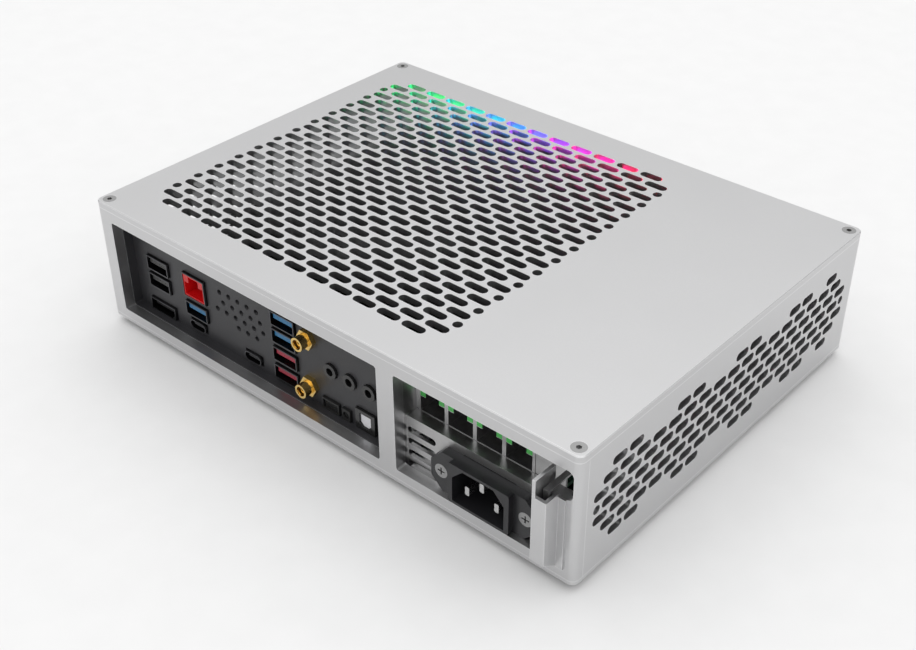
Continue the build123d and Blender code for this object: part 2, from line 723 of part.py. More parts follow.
def power_supply():
    right = WIDTH - SIDE_WALL - 2.0
    x = (right - SUPPLY_WIDTH, right)
    front = DEPTH - LUG_SIDE - 1
    y = (front - SUPPLY_LENGTH, front)
    top = BASE_THICK + SUPPLY_HEIGHT
    supply = block(x, y, (BASE_THICK, top))
    grooves = int((SUPPLY_WIDTH - SUPPLY_FIN_PITCH) / SUPPLY_FIN_PITCH)
    for k in range(grooves):
        centre = x[0] + (k + 1) * SUPPLY_FIN_PITCH
        supply -= block(around(centre, 3.0), grow(y, 1), (top - SUPPLY_FIN_DEPTH, top + 1))
    return supply


# ---- mainboard ----
def motherboard():
    board = block(
        (BOARD_LEFT, BOARD_LEFT + BOARD_SIDE),
        (BOARD_REAR, BOARD_REAR + BOARD_SIDE),
        (BOARD_BOTTOM, BOARD_TOP),
    )
    holes = [disc(x, y, BOARD_HOLE_RADIUS) for x, y in BOARD_SCREW_PLACES]
    return board - [along_z(hole, (BOARD_BOTTOM - 1, BOARD_TOP + 1)) for hole in holes]


def standoffs():
    post = RegularPolygon(STANDOFF_RADIUS, 6) - Circle(M3_RADIUS + SCREW_GAP)
    return [Pos(x, y) * along_z(post, (BASE_THICK, BOARD_BOTTOM)) for x, y in BOARD_SCREW_PLACES]


def board_screws():
    screw = along_z(Circle(M3_HEAD_RADIUS), (BOARD_TOP, BOARD_TOP + 1.8))
    screw += along_z(Circle(M3_RADIUS), (BASE_THICK + 0.2, BOARD_TOP))
    screw -= along_z(Rectangle(3.4, 0.7) + Rectangle(0.7, 3.4), (BOARD_TOP + 0.9, BOARD_TOP + 2))
    return [Pos(x, y) * screw for x, y in BOARD_SCREW_PLACES]


def cpu_socket():
    side = (around(COOLER_X, COOLER_BASE_SIDE), around(COOLER_Y, COOLER_BASE_SIDE))
    socket = block(*side, (BOARD_TOP, SOCKET_TOP - 1.5))
    lid = block(around(COOLER_X, 32), around(COOLER_Y, 32), (SOCKET_TOP - 1.5, SOCKET_TOP))
    return socket + lid


def cpu_cooler():
    """Low heat sink with upright fins, under a slim fan."""
    return finned_block(
        around(COOLER_X, COOLER_SIDE),
        around(COOLER_Y, COOLER_SIDE),
        (SOCKET_TOP, FAN_BOTTOM),
        FIN_PITCH,
        FIN_THICK,
        COOLER_BASE,
    )


def fan_frame():
    """Square fan housing with a central motor seat on four struts."""
    middle = (COOLER_X, COOLER_Y)
    square = Pos(*middle) * RectangleRounded(COOLER_SIDE, COOLER_SIDE, 4)
    frame = along_z(square - disc(*middle, FAN_BORE_RADIUS), (FAN_BOTTOM, FAN_TOP))
    seat = disc(*middle, FAN_HUB_RADIUS)
    struts = Pos(*middle) * (Rectangle(2 * FAN_BORE_RADIUS + 2, 4) + Rectangle(4, 2 * FAN_BORE_RADIUS + 2))
    frame += along_z(seat + struts, (FAN_BOTTOM, FAN_BOTTOM + 2.5))
    frame -= along_z(disc(*middle, SHAFT_RADIUS + RUNNING_GAP), (FAN_BOTTOM - 1, FAN_BOTTOM + 9))
    for x, y in fan_screw_places():
        frame -= along_z(disc(x, y, M3_RADIUS + SCREW_GAP), (FAN_BOTTOM - 1, FAN_TOP + 1))
    return frame


def fan_screw_places():
    inset = 4.8
    return [
        (x, y)
        for x in (COOLER_X - COOLER_SIDE / 2 + inset, COOLER_X + COOLER_SIDE / 2 - inset)
        for y in (COOLER_Y - COOLER_SIDE / 2 + inset, COOLER_Y + COOLER_SIDE / 2 - inset)
    ]


def fan_screws():
    screw = along_z(Circle(M3_HEAD_RADIUS), (FAN_TOP, FAN_TOP + 1.8))
    screw += along_z(Circle(M3_RADIUS), (FAN_BOTTOM + 0.2, FAN_TOP))
    screw -= along_z(Rectangle(3.4, 0.7) + Rectangle(0.7, 3.4), (FAN_TOP + 0.9, FAN_TOP + 2))
    return [Pos(x, y) * screw for x, y in fan_screw_places()]


def fan_rotor():
    """Hub, shaft and swept blades, one moulding that turns in the frame's bearing."""
    low, high = FAN_BOTTOM + 3.2, FAN_TOP - 0.8
    rotor = along_z(Circle(FAN_HUB_RADIUS), (low, high))
    rotor = fillet(rotor.faces().sort_by(Axis.Z)[-1].edges(), 1.2)
    rotor += along_z(Circle(SHAFT_RADIUS), (FAN_BOTTOM + 0.3, low))
    reach = FAN_BORE_RADIUS - FAN_TIP_GAP - FAN_HUB_RADIUS + 2
    blade = Pos(FAN_HUB_RADIUS - 2 + reach / 2, 0, (low + high) / 2) * Rot(38, 0, 0)
    blade *= Box(reach, 13.0, 1.2)
    blade &= Cylinder(FAN_BORE_RADIUS - FAN_TIP_GAP, 100)
    for k in range(FAN_BLADES):
        rotor += Rot(0, 0, 360 / FAN_BLADES * k) * blade
    return Pos(COOLER_X, COOLER_Y) * rotor


# ---- memory ----
def memory_slots():
    slots = []
    seat = BOARD_TOP + MEMORY_SEAT
    top = BOARD_TOP + MEMORY_SLOT_HEIGHT
    right = MEMORY_LEFT + MEMORY_LENGTH
    for y in MEMORY_Y:
        width = around(y, MEMORY_SLOT_WIDTH)
        slot = block((MEMORY_LEFT - 4, right + 9.5), width, (BOARD_TOP, top))
        slot += block((MEMORY_LEFT - 4, MEMORY_LEFT - 0.3), width, (top, top + 5))
        slot += block((right + 3.5, right + 9.5), width, (top, top + 3))
        slot -= block((MEMORY_LEFT - 0.2, right + 0.2), around(y, MEMORY_THICK + 0.2), (seat, top + 9))
        slot -= block((right + 0.2, right + 10), around(y, LATCH_WIDTH + 0.4), (BOARD_TOP + 1.5, top + 9))
        pin = Pos(right + 6.5, y, top) * Rot(90, 0, 0)
        slot -= pin * Cylinder(LATCH_PIN_RADIUS + RUNNING_GAP, MEMORY_SLOT_WIDTH + 2)
        slots.append(slot)
    return slots


def memory_latch(y):
    """End lever that locks a memory board, on a cross pin in the slot's fork."""
    right = MEMORY_LEFT + MEMORY_LENGTH
    top = BOARD_TOP + MEMORY_SLOT_HEIGHT
    lever = block((right + 4.6, right + 8.4), around(y, LATCH_WIDTH), (top - 3, top + LATCH_HEIGHT - 3))
    hook = block((right + 0.3, right + 4.6), around(y, LATCH_WIDTH), (top + 10, top + 13))
    pin = Pos(right + 6.5, y, top) * Rot(90, 0, 0)
    return lever + hook + pin * Cylinder(LATCH_PIN_RADIUS, MEMORY_SLOT_WIDTH - 0.2)


def memory_boards():
    z = (BOARD_TOP + MEMORY_SEAT + 0.1, spreader_top() - 2.2)
    x = (MEMORY_LEFT, MEMORY_LEFT + MEMORY_LENGTH)
    return [block(x, around(y, MEMORY_THICK), z) for y in MEMORY_Y]


def spreader_top():
    return BOARD_TOP + MEMORY_SLOT_HEIGHT + 1.6 + SPREADER_HEIGHT


def memory_spreaders():
    """Folded heat spreaders over the memory boards."""
    x = (MEMORY_LEFT + 0.8, MEMORY_LEFT + MEMORY_LENGTH - 0.8)
    z = (spreader_top() - SPREADER_HEIGHT, spreader_top())
    spreaders = []
    for y in MEMORY_Y:
        spreader = block(x, around(y, SPREADER_WIDTH), z)
        spreaders.append(spreader - block(grow(x, 1), around(y, MEMORY_THICK), (z[0] - 1, z[1] - 2.2)))
    return spreaders


def memory_lights():
    """Milky light bars along the tops of the memory boards."""
    x = (MEMORY_LEFT + 0.8, MEMORY_LEFT + MEMORY_LENGTH - 0.8)
    z = (spreader_top(), spreader_top() + LIGHT_HEIGHT)
    bars = [block(x, around(y, SPREADER_WIDTH), z) for y in MEMORY_Y]
    return [fillet(bar.faces().sort_by(Axis.Z)[-1].edges(), 1.5) for bar in bars]


# ---- other mainboard pieces ----
def port_reach():
    """Depth span of a board connector, from its face to its back."""
    return (PORT_FACE, PORT_FACE + PORT_LENGTH)


def vrm_heatsink():
    back = PORT_FACE + PORT_LENGTH
    right = ANTENNA_X - RADIO_LEFT - 1
    return finned_block((16, right), (back + 2, back + 12), (BOARD_TOP, BOARD_TOP + 26), 4.0, 1.6, 4.0)


def ssd_heatsink():
    rear = COOLER_Y + COOLER_SIDE / 2 + 2
    return finned_block((36, 116), (rear, rear + 21), (BOARD_TOP, BOARD_TOP + 8), 4.0, 1.4, 2.5)


def power_socket():
    """24-way supply socket: a moulded block with two rows of square wells."""
    x = (BOARD_LEFT + 2, BOARD_LEFT + 11.6)
    y = (84, 136)
    socket = block(x, y, (BOARD_TOP, BOARD_TOP + 13))
    for row in (0, 1):
        for k in range(12):
            centre = y[0] + 3 + k * 4.2
            wells = around(x[0] + 2.7 + row * 4.2, 3.2)
            socket -= block(wells, around(centre, 3.2), (BOARD_TOP + 3, BOARD_TOP + 14))
    return socket


# ---- connectors on the shield ----
def port_panels():
    """Openings that the shield leaves for the connectors, each a little larger than its piece."""
    sizes = [
        (USB2_X, USB2_Z[0], USB_WIDTH + 1.2, USB_HEIGHT + 1.2),
        (USB2_X, USB2_Z[1], USB_WIDTH + 1.2, USB_HEIGHT + 1.2),
        (DISPLAY_X, display_z(), DISPLAY_WIDTH + 1.0, DISPLAY_HEIGHT + 1.0),
        (LAN_X, LAN_Z, LAN_WIDTH + 1.2, LAN_HEIGHT + 1.2),
        (LAN_X, LAN_USB_Z, USB_WIDTH + 1.2, USB_HEIGHT + 1.2),
        (BIOS_X, BIOS_Z, 9.6, 5.4),
        (CLEAR_X, BIOS_Z, 4.6, 5.4),
        (OPTICAL_X, OPTICAL_Z, OPTICAL_WIDTH, OPTICAL_HEIGHT),
    ]
    sizes += [(USB_STACK_X, z, USB_WIDTH + 1.2, USB_HEIGHT + 1.2) for z in USB_STACK_Z]
    sizes += [(x, usb_c_z(), USB_C_WIDTH + 1.0, USB_C_HEIGHT + 1.0) for x in USB_C_X]
    return [
        panel(grow(around(x, w), PORT_GAP), grow(around(z, h), PORT_GAP)) for x, z, w, h in sizes
    ]


def display_z():
    return BOARD_TOP + 0.6 + DISPLAY_HEIGHT / 2


def usb_c_z():
    return BOARD_TOP + 2.6 + USB_C_HEIGHT / 2


def io_shield():
    """Plate with the openings, and four rim bars from it forward to the case wall."""
    x = grow((APERTURE_LEFT, APERTURE_RIGHT), -SHIELD_INSET)
    z = grow((APERTURE_BOTTOM, APERTURE_TOP), -SHIELD_INSET)
    outline = panel(grow(x, SHIELD_RIM), grow(z, SHIELD_RIM), SHIELD_OUTER_CORNER)
    plate = along_y(outline, (SHIELD_FACE, SHIELD_BACK))
    through = (SHIELD_FACE - 1, SHIELD_BACK + 1)
    plate -= [along_y(shape, through) for shape in port_panels()]
    round_holes = [(ANTENNA_X, z, ANTENNA_BODY_RADIUS) for z in ANTENNA_Z]
    round_holes += [(x, AUDIO_Z, AUDIO_RING_RADIUS) for x in AUDIO_X]
    plate -= [along_y(disc(x, z, radius + PORT_GAP), through) for x, z, radius in round_holes]
    for first, level, count in PERFORATION_ROWS:
        places = [first + k * PERFORATION_PITCH for k in range(count)]
        plate -= [along_y(disc(x, BOARD_TOP + level, PERFORATION_RADIUS), through) for x in places]
    rim = along_y(outline - panel(x, z, SHIELD_INNER_CORNER), (REAR_WALL, SHIELD_FACE))
    middle = grow(z, -SHIELD_INNER_CORNER)
    bars = [
        rim & block((0, WIDTH), (0, DEPTH), (0, middle[0])),
        rim & block((0, WIDTH), (0, DEPTH), (middle[1], HEIGHT)),
        rim & block((0, (x[0] + x[1]) / 2), (0, DEPTH), middle),
        rim & block(((x[0] + x[1]) / 2, WIDTH), (0, DEPTH), middle),
    ]
    return [plate] + bars


def usb_shells(x, levels, low):
    """Sheet-metal stack of USB-A sockets standing on the board from height low."""
    front, back = port_reach()
    behind = SHIELD_BACK + PORT_GAP
    top = max(levels) + USB_HEIGHT / 2 + 1.0
    stack = block(around(x, USB_WIDTH + 2.2), (behind, back), (low, top))
    for z in levels:
        shell = block(around(x, USB_WIDTH + 1.0), (front, behind), around(z, USB_HEIGHT + 1.0))
        stack += shell
        mouth = block(around(x, USB_WIDTH), (front - 1, back - 5), around(z, USB_HEIGHT))
        stack -= mouth
    return stack


def usb_tongues(x, levels):
    """Contact tongues, set back from each socket's mouth and rooted in its back wall."""
    front, back = port_reach()
    return [
        block(around(x, USB_WIDTH - 1.6), (front + 1.0, back - 5), around(z + 0.9, 2.2))
        for z in levels
    ]


def leg_behind(x, width, low, high):
    """Leg at the back of an upper connector that carries it past a connector below."""
    back = PORT_FACE + PORT_LENGTH
    return block(around(x, width), (back - 3.5, back), (low, high))


def display_port():
    z = display_z()
    front, back = port_reach()
    body = block(around(DISPLAY_X, DISPLAY_WIDTH + 0.8), (front, back - 4), around(z, DISPLAY_HEIGHT + 0.8))
    half, high = DISPLAY_WIDTH / 2, DISPLAY_HEIGHT / 2
    points = [(-half, high), (half, high), (half, 2.0 - high), (half - 2.0, -high), (-half, -high)]
    mouth = Pos(DISPLAY_X, z) * make_face(Polyline(*points, close=True))
    body -= along_y(mouth, (front - 1, back - 10))
    return body + block(around(DISPLAY_X, DISPLAY_WIDTH - 3), (front + 1.5, back - 9), around(z + 0.4, 1.4))


def usb2_stack():
    low = display_z() + DISPLAY_HEIGHT / 2 + 1.0
    stack = usb_shells(USB2_X, USB2_Z, low)
    return stack + leg_behind(USB2_X, USB_WIDTH + 2.2, BOARD_TOP, low)


def usb2_tongues():
    return usb_tongues(USB2_X, USB2_Z)


def lan_stack():
    """Stack with a network jack above a USB socket, over a USB-C socket."""
    front, back = port_reach()
    behind = SHIELD_BACK + PORT_GAP
    low = LAN_USB_Z - USB_HEIGHT / 2 - 1.0
    stack = usb_shells(LAN_X, [LAN_USB_Z], low)
    top = LAN_Z + LAN_HEIGHT / 2 + 1.2
    stack += block(around(LAN_X, LAN_WIDTH + 2.4), (behind, back), (LAN_USB_Z + USB_HEIGHT / 2 + 1, top))
    stack += block(around(LAN_X, LAN_WIDTH + 1.0), (front, behind), around(LAN_Z, LAN_HEIGHT + 1.0))
    stack -= block(around(LAN_X, LAN_WIDTH), (front - 1, back - 5), around(LAN_Z, LAN_HEIGHT))
    return stack + leg_behind(LAN_X, USB_WIDTH + 2.2, BOARD_TOP, low)


def lan_insert():
    """Coloured liner of the network jack, with its stepped mouth."""
    front, back = port_reach()
    liner = block(around(LAN_X, LAN_WIDTH), (front + 0.3, back - 5), around(LAN_Z, LAN_HEIGHT))
    mouth = panel(around(LAN_X, LAN_WIDTH - 1.4), (LAN_Z - LAN_HEIGHT / 2 + 0.7, LAN_Z + 1.6))
    mouth += panel(around(LAN_X, 6.4), (LAN_Z, LAN_Z + LAN_HEIGHT / 2 - 0.8))
    return liner - along_y(mouth, (front - 1, front + 9))


def usb_c_ports():
    front, back = port_reach()
    z = usb_c_z()
    ports = []
    for x in USB_C_X:
        shell = panel(
            around(x, USB_C_WIDTH + 0.9), around(z, USB_C_HEIGHT + 0.9), USB_C_HEIGHT / 2 + 0.4
        )
        mouth = panel(around(x, USB_C_WIDTH), around(z, USB_C_HEIGHT), USB_C_HEIGHT / 2 - 0.05)
        port = along_y(shell, (front, back - 8))
        port += block(around(x, 11.4), (SHIELD_BACK + PORT_GAP, back - 8), (BOARD_TOP, z + 3.2))
        port -= along_y(mouth, (front - 1, front + 7))
        port += block(around(x, 6.6), (front + 1.0, front + 7.2), around(z, 0.8))
        ports.append(port)
    return ports


def usb_stack():
    return usb_shells(USB_STACK_X, USB_STACK_Z, BOARD_TOP)


def usb_tongues_red():
    return usb_tongues(USB_STACK_X, USB_STACK_Z[:2])


def usb_tongues_blue():
    return usb_tongues(USB_STACK_X, USB_STACK_Z[2:]) + usb_tongues(LAN_X, [LAN_USB_Z])


def wifi_module():
    """Upright radio module in a can, behind the two antenna jacks."""
    top = max(ANTENNA_Z) + 5
    front = SHIELD_BACK + ANTENNA_BEHIND
    x = (ANTENNA_X - RADIO_LEFT, ANTENNA_X + RADIO_RIGHT)
    return block(x, (front, front + RADIO_LENGTH), (BOARD_TOP, top))


def antenna_jacks():
    """Coaxial jacks, plain cylinders at their thread's outside size, with a centre contact."""
    jacks = []
    step = SHIELD_FACE - NUT_THICK - ANTENNA_STEP
    for z in ANTENNA_Z:
        jack = along_y(disc(ANTENNA_X, z, ANTENNA_RADIUS), (ANTENNA_FRONT, step))
        jack += along_y(disc(ANTENNA_X, z, ANTENNA_BODY_RADIUS), (step, SHIELD_BACK + ANTENNA_BEHIND))
        jack -= along_y(disc(ANTENNA_X, z, ANTENNA_BORE_RADIUS), (ANTENNA_FRONT - 1, step))
        contact = disc(ANTENNA_X, z, ANTENNA_PIN_RADIUS) - disc(ANTENNA_X, z, ANTENNA_PIN_BORE)
        jack += along_y(contact, (ANTENNA_FRONT + ANTENNA_PIN_RADIUS, step))
        jacks.append(jack)
    return jacks


def antenna_nuts():
    nuts = []
    for z in ANTENNA_Z:
        hexagon = Pos(ANTENNA_X, z) * RegularPolygon(NUT_ACROSS / 2, 6, major_radius=False)
        ring = hexagon - disc(ANTENNA_X, z, ANTENNA_BODY_RADIUS)
        nuts.append(along_y(ring, (SHIELD_FACE - NUT_THICK, SHIELD_FACE)))
    return nuts


def audio_jacks():
    front, back = port_reach()
    jacks = []
    for x in AUDIO_X:
        jack = block(around(x, 9.8), (SHIELD_BACK + PORT_GAP, back - 6), around(AUDIO_Z, 10.4))
        jack += along_y(disc(x, AUDIO_Z, AUDIO_RING_RADIUS), (front, SHIELD_BACK + 1))
        jack -= along_y(disc(x, AUDIO_Z, AUDIO_HOLE_RADIUS), (front - 1, back - 8))
        jacks.append(jack)
    return jacks


def button_housing():
    """Moulded housing that guides the two small service buttons."""
    front, back = port_reach()
    behind = SHIELD_BACK + PORT_GAP
    left, right = BIOS_X - 5.2, CLEAR_X + 2.8
    body = block((left, right), (behind, back - 8), (BOARD_TOP, BIOS_Z + 3.4))
    body += block(around(BIOS_X, 9.6), (front, behind), around(BIOS_Z, 5.4))
    body += block(around(CLEAR_X, 4.6), (front, behind), around(BIOS_Z, 5.4))
    body -= block(grow(around(BIOS_X, 8.0), 0.15), (front - 1, front + 7), grow(around(BIOS_Z, 3.8), 0.15))
    return body - along_y(disc(CLEAR_X, BIOS_Z, 1.5 + 0.15), (front - 1, front + 7))


def bios_button():
    front = PORT_FACE + 0.6
    return block(around(BIOS_X, 8.0), (front, front + 4), around(BIOS_Z, 3.8))


def clear_cmos_button():
    front = PORT_FACE + 0.6
    return along_y(disc(CLEAR_X, BIOS_Z, 1.5), (front, front + 4))


def shutter_outline(gap=0.0):
    """Optical port's mouth: a square with both lower corners cut off."""
    half, cut = SHUTTER_SIDE / 2 + gap, 1.6
    points = [(-half, half), (half, half), (half, cut - half), (half - cut, -half)]
    points += [(cut - half, -half), (-half, cut - half)]
    return Pos(OPTICAL_X, OPTICAL_Z) * make_face(Polyline(*points, close=True))


def shutter_axis():
    """Depth and height of the shutter's pivot."""
    return (PORT_FACE + 1.2, OPTICAL_Z + SHUTTER_SIDE / 2 - 0.1)


def optical_housing():
    front, back = port_reach()
    body = block(around(OPTICAL_X, OPTICAL_WIDTH), (front, back - 6), around(OPTICAL_Z, OPTICAL_HEIGHT))
    body += block(around(OPTICAL_X, OPTICAL_WIDTH - 1), (SHIELD_BACK + 2, back - 6), (BOARD_TOP, OPTICAL_Z))
    body -= along_y(shutter_outline(0.2), (front - 1, front + 9))
    depth, height = shutter_axis()
    body -= block(around(OPTICAL_X, 6.4), (depth - 0.8, front + 9), (OPTICAL_Z, height + 1.0))
    axle = Pos(OPTICAL_X, depth, height) * Rot(0, 90, 0)
    return body - axle * Cylinder(0.5 + RUNNING_GAP, 8.2)


def optical_shutter():
    depth, height = shutter_axis()
    leaf = along_y(shutter_outline(), (depth - SHUTTER_THICK / 2, depth + SHUTTER_THICK / 2))
    axle = Pos(OPTICAL_X, depth, height) * Rot(0, 90, 0)
    return leaf + axle * Cylinder(0.5, 8.0)


# ---- power button ----
def power_button():
    """Cap in the front wall with a wider flange behind it, which stops it falling out."""
    rear = DEPTH - FRONT_WALL
    z = HEIGHT / 2
    cap = along_y(disc(BUTTON_X, z, BUTTON_RADIUS), (rear, DEPTH))
    cap = fillet(cap.faces().sort_by(Axis.Y)[-1].edges(), 0.4)
    return cap + along_y(disc(BUTTON_X, z, BUTTON_RADIUS + 1.5), (rear - 1.2, rear))


def power_switch():
    """Switch body with its plunger just behind the button."""
    rear = DEPTH - FRONT_WALL - 1.2 - BUTTON_TRAVEL - 0.1
    z = HEIGHT / 2
    body = block(around(BUTTON_X, 14), (rear - 6, rear), around(z, 14))
    for side in (-1, 1):
        ear = around(BUTTON_X + side * 10.5, 4.0)
        body += block(ear, (rear - 6, DEPTH - FRONT_WALL), around(z, 14))
    return body + block(around(BUTTON_X, 25), (rear - 6, rear - 3), around(z, 14))


def power_light():
    x = BUTTON_X + LIGHT_SPACING
    return along_y(disc(x, HEIGHT / 2, LIGHT_RADIUS), (DEPTH - FRONT_WALL - 2, DEPTH))


def place_in_row(piece):
    """Moves a piece from case coordinates to the row frame."""
    return Pos(-WIDTH / 2, (SHROUD_OUT - DEPTH) / 2, FOOT_HEIGHT) * piece


PIECES = {
    "case_frame": case_frame,
    "top_cover": top_cover,
    "base_plate": base_plate,
    "feet": feet,
    "cover_screws": cover_screws,
    "base_screws": base_screws,
    "rear_bracket": rear_bracket,
    "bracket_shroud": bracket_shroud,
    "io_shield": io_shield,
    "power_button": power_button,
    "power_switch": power_switch,
    "power_light": power_light,
    "motherboard": motherboard,
    "standoffs": standoffs,
    "board_screws": board_screws,
    "cpu_socket": cpu_socket,
    "cpu_cooler": cpu_cooler,
    "fan_frame": fan_frame,
    "fan_rotor": fan_rotor,
    "fan_screws": fan_screws,
    "memory_slots": memory_slots,
    "vrm_heatsink": vrm_heatsink,
    "ssd_heatsink": ssd_heatsink,
    "power_socket": power_socket,
    "display_port": display_port,
    "usb2_stack": usb2_stack,
    "usb2_tongues": usb2_tongues,
    "lan_stack": lan_stack,
    "lan_insert": lan_insert,
    "usb_c_ports": usb_c_ports,
    "usb_stack": usb_stack,
    "usb_tongues_blue": usb_tongues_blue,
    "usb_tongues_red": usb_tongues_red,
    "wifi_module": wifi_module,
    "antenna_jacks": antenna_jacks,
    "antenna_nuts": antenna_nuts,
    "audio_jacks": audio_jacks,
    "button_housing": button_housing,
    "bios_button": bios_button,
    "clear_cmos_button": clear_cmos_button,
    "optical_housing": optical_housing,
    "optical_shutter": optical_shutter,
    "nic_board": nic_board,
    "nic_bracket": nic_bracket,
    "nic_jacks": nic_jacks,
    "nic_lights": nic_lights,
    "nic_heatsink": nic_heatsink,
    "expansion_slot": expansion_slot,
    "riser_card": riser_card,
    "riser_socket": riser_socket,
    "power_supply": power_supply,
    "power_inlet": power_inlet,
    "inlet_pins": inlet_pins,
    "inlet_screws": inlet_screws,
    "memory_boards": memory_boards,
    "memory_spreaders": memory_spreaders,
    "memory_lights": memory_lights,
}


def save(name, made):
    """Writes one node: a single solid, or a group of identical separate solids."""
    solids = [s for piece in (made if isinstance(made, list) else [made]) for s in piece.solids()]
    placed = [place_in_row(solid) for solid in solids]
    shape = placed[0] if len(placed) == 1 else Compound(children=placed)
    export_step(shape, f"parts/{name}.step")


def main():
    os.makedirs("parts", exist_ok=True)
    for name, make in PIECES.items():
        save(name, make())
    for number, y in enumerate(MEMORY_Y, start=1):
        save(f"memory_latch_{number}", memory_latch(y))


main()
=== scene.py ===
import json
import math
import random

import bpy
from mathutils import Matrix, Vector


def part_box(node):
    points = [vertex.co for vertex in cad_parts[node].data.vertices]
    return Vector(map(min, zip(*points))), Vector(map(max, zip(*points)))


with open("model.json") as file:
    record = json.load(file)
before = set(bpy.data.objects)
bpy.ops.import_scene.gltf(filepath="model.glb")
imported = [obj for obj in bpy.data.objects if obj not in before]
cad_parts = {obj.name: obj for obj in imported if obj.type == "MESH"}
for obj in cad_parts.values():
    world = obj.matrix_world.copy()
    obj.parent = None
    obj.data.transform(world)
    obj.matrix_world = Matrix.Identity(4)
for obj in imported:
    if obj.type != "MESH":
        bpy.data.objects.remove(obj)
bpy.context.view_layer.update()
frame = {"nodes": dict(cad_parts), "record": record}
random.seed(7)

# Camera
CAMERA_AZIMUTH = 41.56
CAMERA_ELEVATION = 34.72
CAMERA_ROLL = 0.33
CAMERA_DISTANCE = 0.5788
CAMERA_TARGET = Vector((0.0048, -0.0104, 0.0151))
CAMERA_LENS = 52.43
SENSOR_WIDTH = 36

# Studio
FLOOR_HALF = 9.0
SKY_STRENGTH = 1.0

# The studio's brightness by height, from the horizon up: place and level
SKY_STOPS = ((0.0, 0.18), (0.30, 0.62), (0.52, 1.05), (0.8, 1.45))

# The memory's light bars, from the left: place along the bar and colour
LIGHT_STOPS = [
    (0.00, (0.02, 0.80, 0.12)),
    (0.22, (0.02, 0.75, 0.30)),
    (0.34, (0.02, 0.65, 0.75)),
    (0.50, (0.06, 0.30, 1.00)),
    (0.66, (0.38, 0.08, 1.00)),
    (0.84, (0.95, 0.02, 0.55)),
    (1.00, (1.00, 0.02, 0.08)),
]
LIGHT_STRENGTH = 3.2


# Camera and light

def look(azimuth, elevation, roll):
    """Right, up and back directions of a camera that looks along +Y at azimuth 0."""
    a, e, r = (math.radians(v) for v in (azimuth, elevation, roll))
    ahead = Vector((-math.sin(a) * math.cos(e), math.cos(a) * math.cos(e), -math.sin(e)))
    side = ahead.cross(Vector((0, 0, 1))).normalized()
    up = side.cross(ahead) * math.cos(r) + side * math.sin(r)
    return ahead.cross(up), up, -ahead


def make_camera():
    data = bpy.data.cameras.new("camera")
    data.lens = CAMERA_LENS
    data.sensor_width = SENSOR_WIDTH
    data.clip_start = 0.01
    camera = bpy.data.objects.new("camera", data)
    bpy.context.scene.collection.objects.link(camera)
    right, up, back = look(CAMERA_AZIMUTH, CAMERA_ELEVATION, CAMERA_ROLL)
    turn = Matrix((right, up, back)).transposed().to_4x4()
    camera.matrix_world = Matrix.Translation(CAMERA_TARGET + back * CAMERA_DISTANCE) @ turn
    bpy.context.scene.camera = camera


def make_world():
    """An even studio, bright overhead and dimmer towards the horizon."""
    world = bpy.data.worlds.new("studio")
    bpy.context.scene.world = world
    world.use_nodes = True
    tree = world.node_tree
    background = tree.nodes["Background"]
    place = tree.nodes.new("ShaderNodeTexCoord")
    split = tree.nodes.new("ShaderNodeSeparateXYZ")
    ramp = tree.nodes.new("ShaderNodeValToRGB")
    tree.links.new(place.outputs["Generated"], split.inputs[0])
    tree.links.new(split.outputs["Z"], ramp.inputs[0])
    tree.links.new(ramp.outputs[0], background.inputs[0])
    elements = ramp.color_ramp.elements
    elements[0].position, elements[1].position = SKY_STOPS[0][0], SKY_STOPS[1][0]
    for at, level in SKY_STOPS[2:]:
        elements.new(at)
    for element, (at, level) in zip(elements, SKY_STOPS):
        element.position = at
        element.color = (level, level, level, 1)
    background.inputs[1].default_value = SKY_STRENGTH


# Materials

